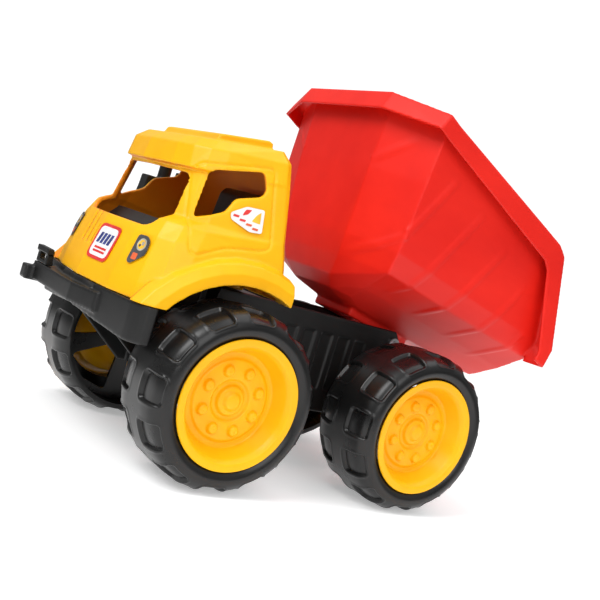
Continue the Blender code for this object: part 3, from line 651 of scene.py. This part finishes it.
def lamps():
    """A dark lamp cluster with a round lamp over a square one."""
    for hand, side in SIDES:
        outline = [(-6.0 * side, 9.5), (2.5 * side, 9.8), (6.2 * side, 6.8), (6.8 * side, -1.5),
                   (-2.5 * side, -9.3), (-6.2 * side, -8.2)]
        layers = [(outline, 0.12, 0, 2.0), (disc_outline(4.0, (0.3 * side, 3.8)), 0.2, 1, 0.2),
                  (disc_outline(3.0, (0.3 * side, 3.8)), 0.26, 2, 0.2),
                  (disc_outline(1.3, (1.2 * side, 4.6)), 0.32, 1, 0.2),
                  (disc_outline(0.9, (-0.9 * side, 3.0)), 0.32, 0, 0.2),
                  (box_outline(2.3, 2.1, (-1.2 * side, -4.2)), 0.22, 3, 0.8)]
        sticker(f"lamp_print_{hand}", f"lamp_label_{hand}", [GREY_INK, PALE_INK, AMBER_INK, ORANGE_INK],
                layers)


def door_prints():
    """A white flash with a red sweep, an amber wedge and two short bars."""
    for hand, side in SIDES:
        outline = [(-12.0 * side, 0.5), (-2.0 * side, 6.8), (10.5 * side, 7.8), (11.5 * side, -7.0),
                   (3.0 * side, -8.0), (-11.0 * side, -3.5)]
        sweep = [(-4.0 * side, 0.6), (-0.5 * side, 2.2), (1.8 * side, 5.6), (-2.2 * side, 4.9),
                 (-3.4 * side, 2.6)]
        wedge = [(3.0 * side, -1.2), (9.0 * side, -1.6), (8.4 * side, 5.8), (5.6 * side, 3.2)]
        bars = [(box_outline(2.0, 0.7, (x * side, y), 0.2 * side), 0.26, ink, 0.3)
                for x, y, ink in ((-8.0, -0.6, 1), (-3.2, -2.2, 1), (1.6, -3.8, 3), (6.4, -5.4, 3))]
        layers = [(outline, 0.12, 0, 1.6), (sweep, 0.26, 1, 0.8), (wedge, 0.26, 2, 0.6)] + bars
        sticker(f"door_print_{hand}", f"door_label_{hand}", [WHITE_INK, RED_INK, AMBER_INK, ORANGE_INK],
                layers)


# ---------------------------------------------------------------- carried-over nodes

def finish_cad_nodes():
    """Steel and black finishes on the small CAD pieces that keep their own mesh."""
    for node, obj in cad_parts.items():
        if obj.hide_render:
            continue
        steel = "axle" in node and "spacer" not in node
        steel = steel or "screw" in node or "pin" in node
        obj.data.materials.clear()
        obj.data.materials.append(STEEL if steel else BLACK)


# ---------------------------------------------------------------- stage

def pale_floor():
    bm = bmesh.new()
    bmesh.ops.create_grid(bm, x_segments=4, y_segments=4, size=1.0)
    mesh = mesh_of(bm, "floor")
    floor = bpy.data.objects.new("floor", mesh)
    bpy.context.scene.collection.objects.link(floor)
    floor.location.z = CAD_BOX[0].z - 0.0004
    mat, nodes, links, shader = shader_nodes("floor_paper")
    cloud = noise_node(nodes, links, 3.0, 2.0)
    links.new(ramp_node(nodes, links, cloud, (0.86, 0.86, 0.86), (0.89, 0.89, 0.89)),
              shader.inputs["Base Color"])
    shader.inputs["Roughness"].default_value = 0.9
    shader.inputs["Specular IOR Level"].default_value = 0.1
    shader.inputs["Emission Color"].default_value = (1.0, 1.0, 1.0, 1.0)
    shader.inputs["Emission Strength"].default_value = 0.35
    coords = nodes.new("ShaderNodeTexCoord")
    length = nodes.new("ShaderNodeVectorMath")
    length.operation = "LENGTH"
    links.new(coords.outputs["Object"], length.inputs[0])
    fade = nodes.new("ShaderNodeMapRange")
    fade.interpolation_type = "SMOOTHSTEP"
    fade.inputs["From Min"].default_value = 0.35
    fade.inputs["From Max"].default_value = 0.9
    links.new(length.outputs["Value"], fade.inputs["Value"])
    clear = nodes.new("ShaderNodeBsdfTransparent")
    mix = nodes.new("ShaderNodeMixShader")
    links.new(fade.outputs["Result"], mix.inputs["Fac"])
    links.new(shader.outputs["BSDF"], mix.inputs[1])
    links.new(clear.outputs["BSDF"], mix.inputs[2])
    links.new(mix.outputs["Shader"], nodes["Material Output"].inputs["Surface"])
    mesh.materials.append(mat)


def sky():
    """White to the camera; softer and darker towards the horizon as a light."""
    world = bpy.data.worlds.new("studio")
    bpy.context.scene.world = world
    world.use_nodes = True
    nodes, links = world.node_tree.nodes, world.node_tree.links
    out = nodes["World Output"]
    light = nodes["Background"]
    coords = nodes.new("ShaderNodeTexCoord")
    split = nodes.new("ShaderNodeSeparateXYZ")
    links.new(coords.outputs["Generated"], split.inputs["Vector"])
    ramp = nodes.new("ShaderNodeValToRGB")
    ramp.color_ramp.elements[0].position = 0.0
    ramp.color_ramp.elements[0].color = (0.22, 0.22, 0.22, 1.0)
    ramp.color_ramp.elements[1].position = 0.8
    ramp.color_ramp.elements[1].color = (1.0, 1.0, 1.0, 1.0)
    links.new(split.outputs["Z"], ramp.inputs["Fac"])
    links.new(ramp.outputs["Color"], light.inputs["Color"])
    light.inputs["Strength"].default_value = 0.72
    paper = nodes.new("ShaderNodeBackground")
    paper.inputs["Color"].default_value = (1.0, 1.0, 1.0, 1.0)
    paper.inputs["Strength"].default_value = 1.1
    seen = nodes.new("ShaderNodeLightPath")
    mix = nodes.new("ShaderNodeMixShader")
    links.new(seen.outputs["Is Camera Ray"], mix.inputs["Fac"])
    links.new(light.outputs["Background"], mix.inputs[1])
    links.new(paper.outputs["Background"], mix.inputs[2])
    links.new(mix.outputs["Shader"], out.inputs["Surface"])


def lamp(name, direction, distance, size, power):
    """A soft square lamp that looks at the truck's middle from a direction."""
    light = bpy.data.lights.new(name, "AREA")
    light.size = size
    light.energy = power
    obj = bpy.data.objects.new(name, light)
    bpy.context.scene.collection.objects.link(obj)
    aim = Vector(direction).normalized()
    obj.location = (CAD_BOX[0] + CAD_BOX[1]) / 2 + aim * distance
    obj.rotation_euler = aim.to_track_quat("Z", "Y").to_euler()


def studio():
    pale_floor()
    sky()
    lamp("key", (0.25, -1.0, 0.95), 1.6, 0.8, 15.0)
    lamp("fill", (1.0, -0.25, 0.45), 1.8, 1.2, 12.0)
    lamp("top", (0.1, 0.3, 1.0), 1.8, 1.6, 11.0)


CAMERA_PLACE = (0.54192, -0.38483, 0.15860)
CAMERA_DEGREES = (86.5594, -17.0912, 55.3048)
CAMERA_LENS = 54.0


def camera():
    data = bpy.data.cameras.new("camera")
    data.sensor_width = 36.0
    data.lens = CAMERA_LENS
    obj = bpy.data.objects.new("camera", data)
    bpy.context.scene.collection.objects.link(obj)
    obj.location = CAMERA_PLACE
    obj.rotation_euler = [math.radians(a) for a in CAMERA_DEGREES]
    bpy.context.scene.camera = obj


camera()
wheels()
cab()
bed()
running_frame()
badge()
lamps()
door_prints()
finish_cad_nodes()
studio()
bpy.context.scene.view_settings.view_transform = "Standard"
